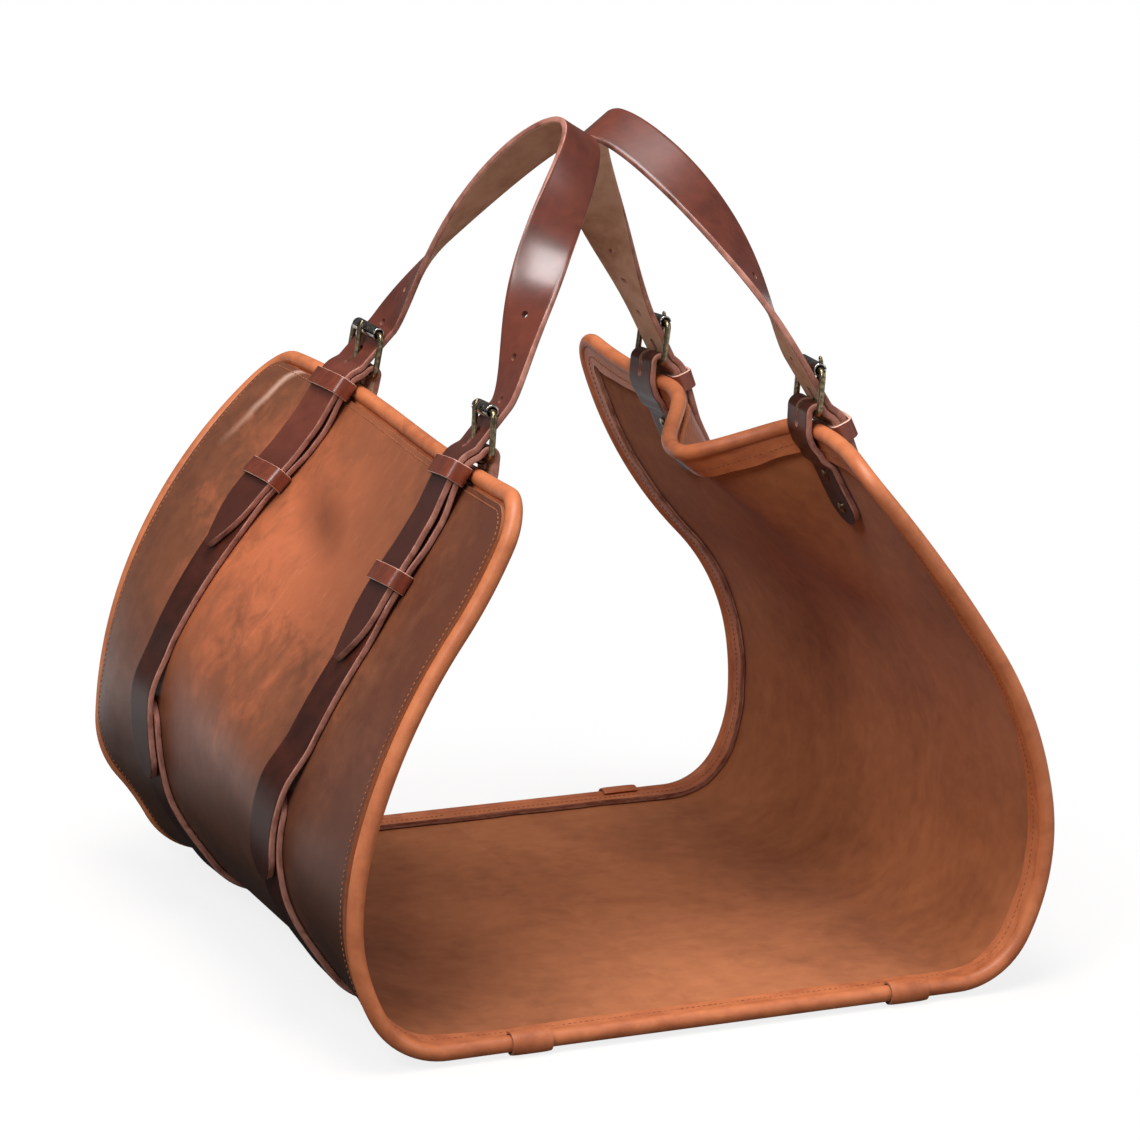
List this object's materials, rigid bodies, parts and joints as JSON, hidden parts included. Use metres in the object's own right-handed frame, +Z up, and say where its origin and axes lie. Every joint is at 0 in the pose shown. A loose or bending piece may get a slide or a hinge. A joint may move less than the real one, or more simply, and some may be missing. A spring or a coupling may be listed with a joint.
{
  "type": "leather log carrier",
  "caption": "Open-ended leather log carrier: a thick hide slung in two girth straps, with rope-cored piping and two long buckled strap handles that lean together over the mouth",
  "frame": {"origin": "on the ground under the middle of the carrier's box, with the girth straps resting on the ground", "axes": "+Z up, +X across the opening from the left panel to the right one, -Y the front opening and +Y the back one"},
  "size_m": [0.4852, 0.4654, 0.5217],
  "materials": {
    "hide": "waxed pull-up hide, mottled tan",
    "piping": "thin folded tan leather",
    "rope": "natural twisted rope",
    "strap": "dark red-brown bridle leather, waxed",
    "keeper": "red-brown bridle leather, waxed",
    "metal": "antique dark"
  },
  "bodies": {
    "base": {"hide_bottom": "hide", "binding_bottom_front": "piping", "binding_bottom_back": "piping", "rope_bottom_front": "rope", "rope_bottom_back": "rope", "girth_strap_front": "strap", "girth_strap_back": "strap", "sleeve_left_front": "piping", "sleeve_right_front": "piping", "sleeve_left_back": "piping", "sleeve_right_back": "piping"},
    "side_left": {"hide_left": "hide", "binding_left": "piping", "rope_left": "rope", "girth_end_left_front": "strap", "side_strap_left_front": "strap", "handle_end_left_front": "strap", "keeper_upper_left_front": "keeper", "rivet_upper_left_front": "metal", "rivet_lower_left_front": "metal", "buckle_frame_left_front": "metal", "girth_end_left_back": "strap", "side_strap_left_back": "strap", "handle_end_left_back": "strap", "keeper_upper_left_back": "keeper", "rivet_upper_left_back": "metal", "rivet_lower_left_back": "metal", "buckle_frame_left_back": "metal"},
    "grip_left": {"handle_left": "strap"},
    "roller_left_front": {"buckle_roller_left_front": "metal"},
    "prong_left_front": {"buckle_prong_left_front": "metal"},
    "keeper_left_front": {"keeper_lower_left_front": "keeper"},
    "roller_left_back": {"buckle_roller_left_back": "metal"},
    "prong_left_back": {"buckle_prong_left_back": "metal"},
    "keeper_left_back": {"keeper_lower_left_back": "keeper"},
    "side_right": {"hide_right": "hide", "binding_right": "piping", "rope_right": "rope", "girth_end_right_front": "strap", "side_strap_right_front": "strap", "handle_end_right_front": "strap", "keeper_upper_right_front": "keeper", "rivet_upper_right_front": "metal", "rivet_lower_right_front": "metal", "buckle_frame_right_front": "metal", "girth_end_right_back": "strap", "side_strap_right_back": "strap", "handle_end_right_back": "strap", "keeper_upper_right_back": "keeper", "rivet_upper_right_back": "metal", "rivet_lower_right_back": "metal", "buckle_frame_right_back": "metal"},
    "grip_right": {"handle_right": "strap"},
    "roller_right_front": {"buckle_roller_right_front": "metal"},
    "prong_right_front": {"buckle_prong_right_front": "metal"},
    "keeper_right_front": {"keeper_lower_right_front": "keeper"},
    "roller_right_back": {"buckle_roller_right_back": "metal"},
    "prong_right_back": {"buckle_prong_right_back": "metal"},
    "keeper_right_back": {"keeper_lower_right_back": "keeper"}
  },
  "joints": [
    {"name": "fold_left", "type": "hinge", "parent": "base", "child": "side_left", "pos_m": [-0.18969, 0, 0.00747], "axis": [0, -1, 0], "range_deg": [0, 70]},
    {"name": "swing_left", "type": "hinge", "parent": "side_left", "child": "grip_left", "pos_m": [-0.08348, -0.0003, 0.37079], "axis": [-0.0393, -0.9986, -0.0367], "range_deg": [0, 75]},
    {"name": "roll_left_front", "type": "hinge", "parent": "side_left", "child": "roller_left_front", "pos_m": [-0.0942, -0.11594, 0.36245], "axis": [0.0759, 0.9959, -0.0489], "continuous": true},
    {"name": "lift_left_front", "type": "hinge", "parent": "side_left", "child": "prong_left_front", "pos_m": [-0.09658, -0.11708, 0.33558], "axis": [-0.0759, -0.9959, 0.0489], "range_deg": [0, 6]},
    {"name": "slide_left_front", "type": "slide", "parent": "side_left", "child": "keeper_left_front", "axis": [0.5653, 0, 0.8249], "range_m": [-0.004, 0.002]},
    {"name": "roll_left_back", "type": "hinge", "parent": "side_left", "child": "roller_left_back", "pos_m": [-0.08531, 0.11514, 0.37138], "axis": [-0.1266, 0.9875, 0.0944], "continuous": true},
    {"name": "lift_left_back", "type": "hinge", "parent": "side_left", "child": "prong_left_back", "pos_m": [-0.08961, 0.11713, 0.3448], "axis": [0.1266, -0.9875, -0.0944], "range_deg": [0, 6]},
    {"name": "slide_left_back", "type": "slide", "parent": "side_left", "child": "keeper_left_back", "axis": [0.6912, 0, 0.7226], "range_m": [-0.004, 0.002]},
    {"name": "fold_right", "type": "hinge", "parent": "base", "child": "side_right", "pos_m": [0.19992, 0, 0.00747], "axis": [0, 1, 0], "range_deg": [0, 70]},
    {"name": "swing_right", "type": "hinge", "parent": "side_right", "child": "grip_right", "pos_m": [0.11065, -0.00001, 0.37484], "axis": [-0.0043, 0.9992, -0.0398], "range_deg": [0, 75]},
    {"name": "roll_right_front", "type": "hinge", "parent": "side_right", "child": "roller_right_front", "pos_m": [0.11661, -0.11777, 0.37455], "axis": [0.0599, 0.9978, 0.0267], "continuous": true},
    {"name": "lift_right_front", "type": "hinge", "parent": "side_right", "child": "prong_right_front", "pos_m": [0.11484, -0.11694, 0.34762], "axis": [0.0599, 0.9978, 0.0267], "range_deg": [0, 6]},
    {"name": "slide_right_front", "type": "slide", "parent": "side_right", "child": "keeper_right_front", "axis": [-0.5172, 0, 0.8559], "range_m": [-0.004, 0.002]},
    {"name": "roll_right_back", "type": "hinge", "parent": "side_right", "child": "roller_right_back", "pos_m": [0.11515, 0.11775, 0.36474], "axis": [-0.0605, 0.998, -0.0208], "continuous": true},
    {"name": "lift_right_back", "type": "hinge", "parent": "side_right", "child": "prong_right_back", "pos_m": [0.11104, 0.11695, 0.33807], "axis": [-0.0605, 0.998, -0.0208], "range_deg": [0, 6]},
    {"name": "slide_right_back", "type": "slide", "parent": "side_right", "child": "keeper_right_back", "axis": [-0.5203, 0, 0.854], "range_m": [-0.004, 0.002]}
  ]
}
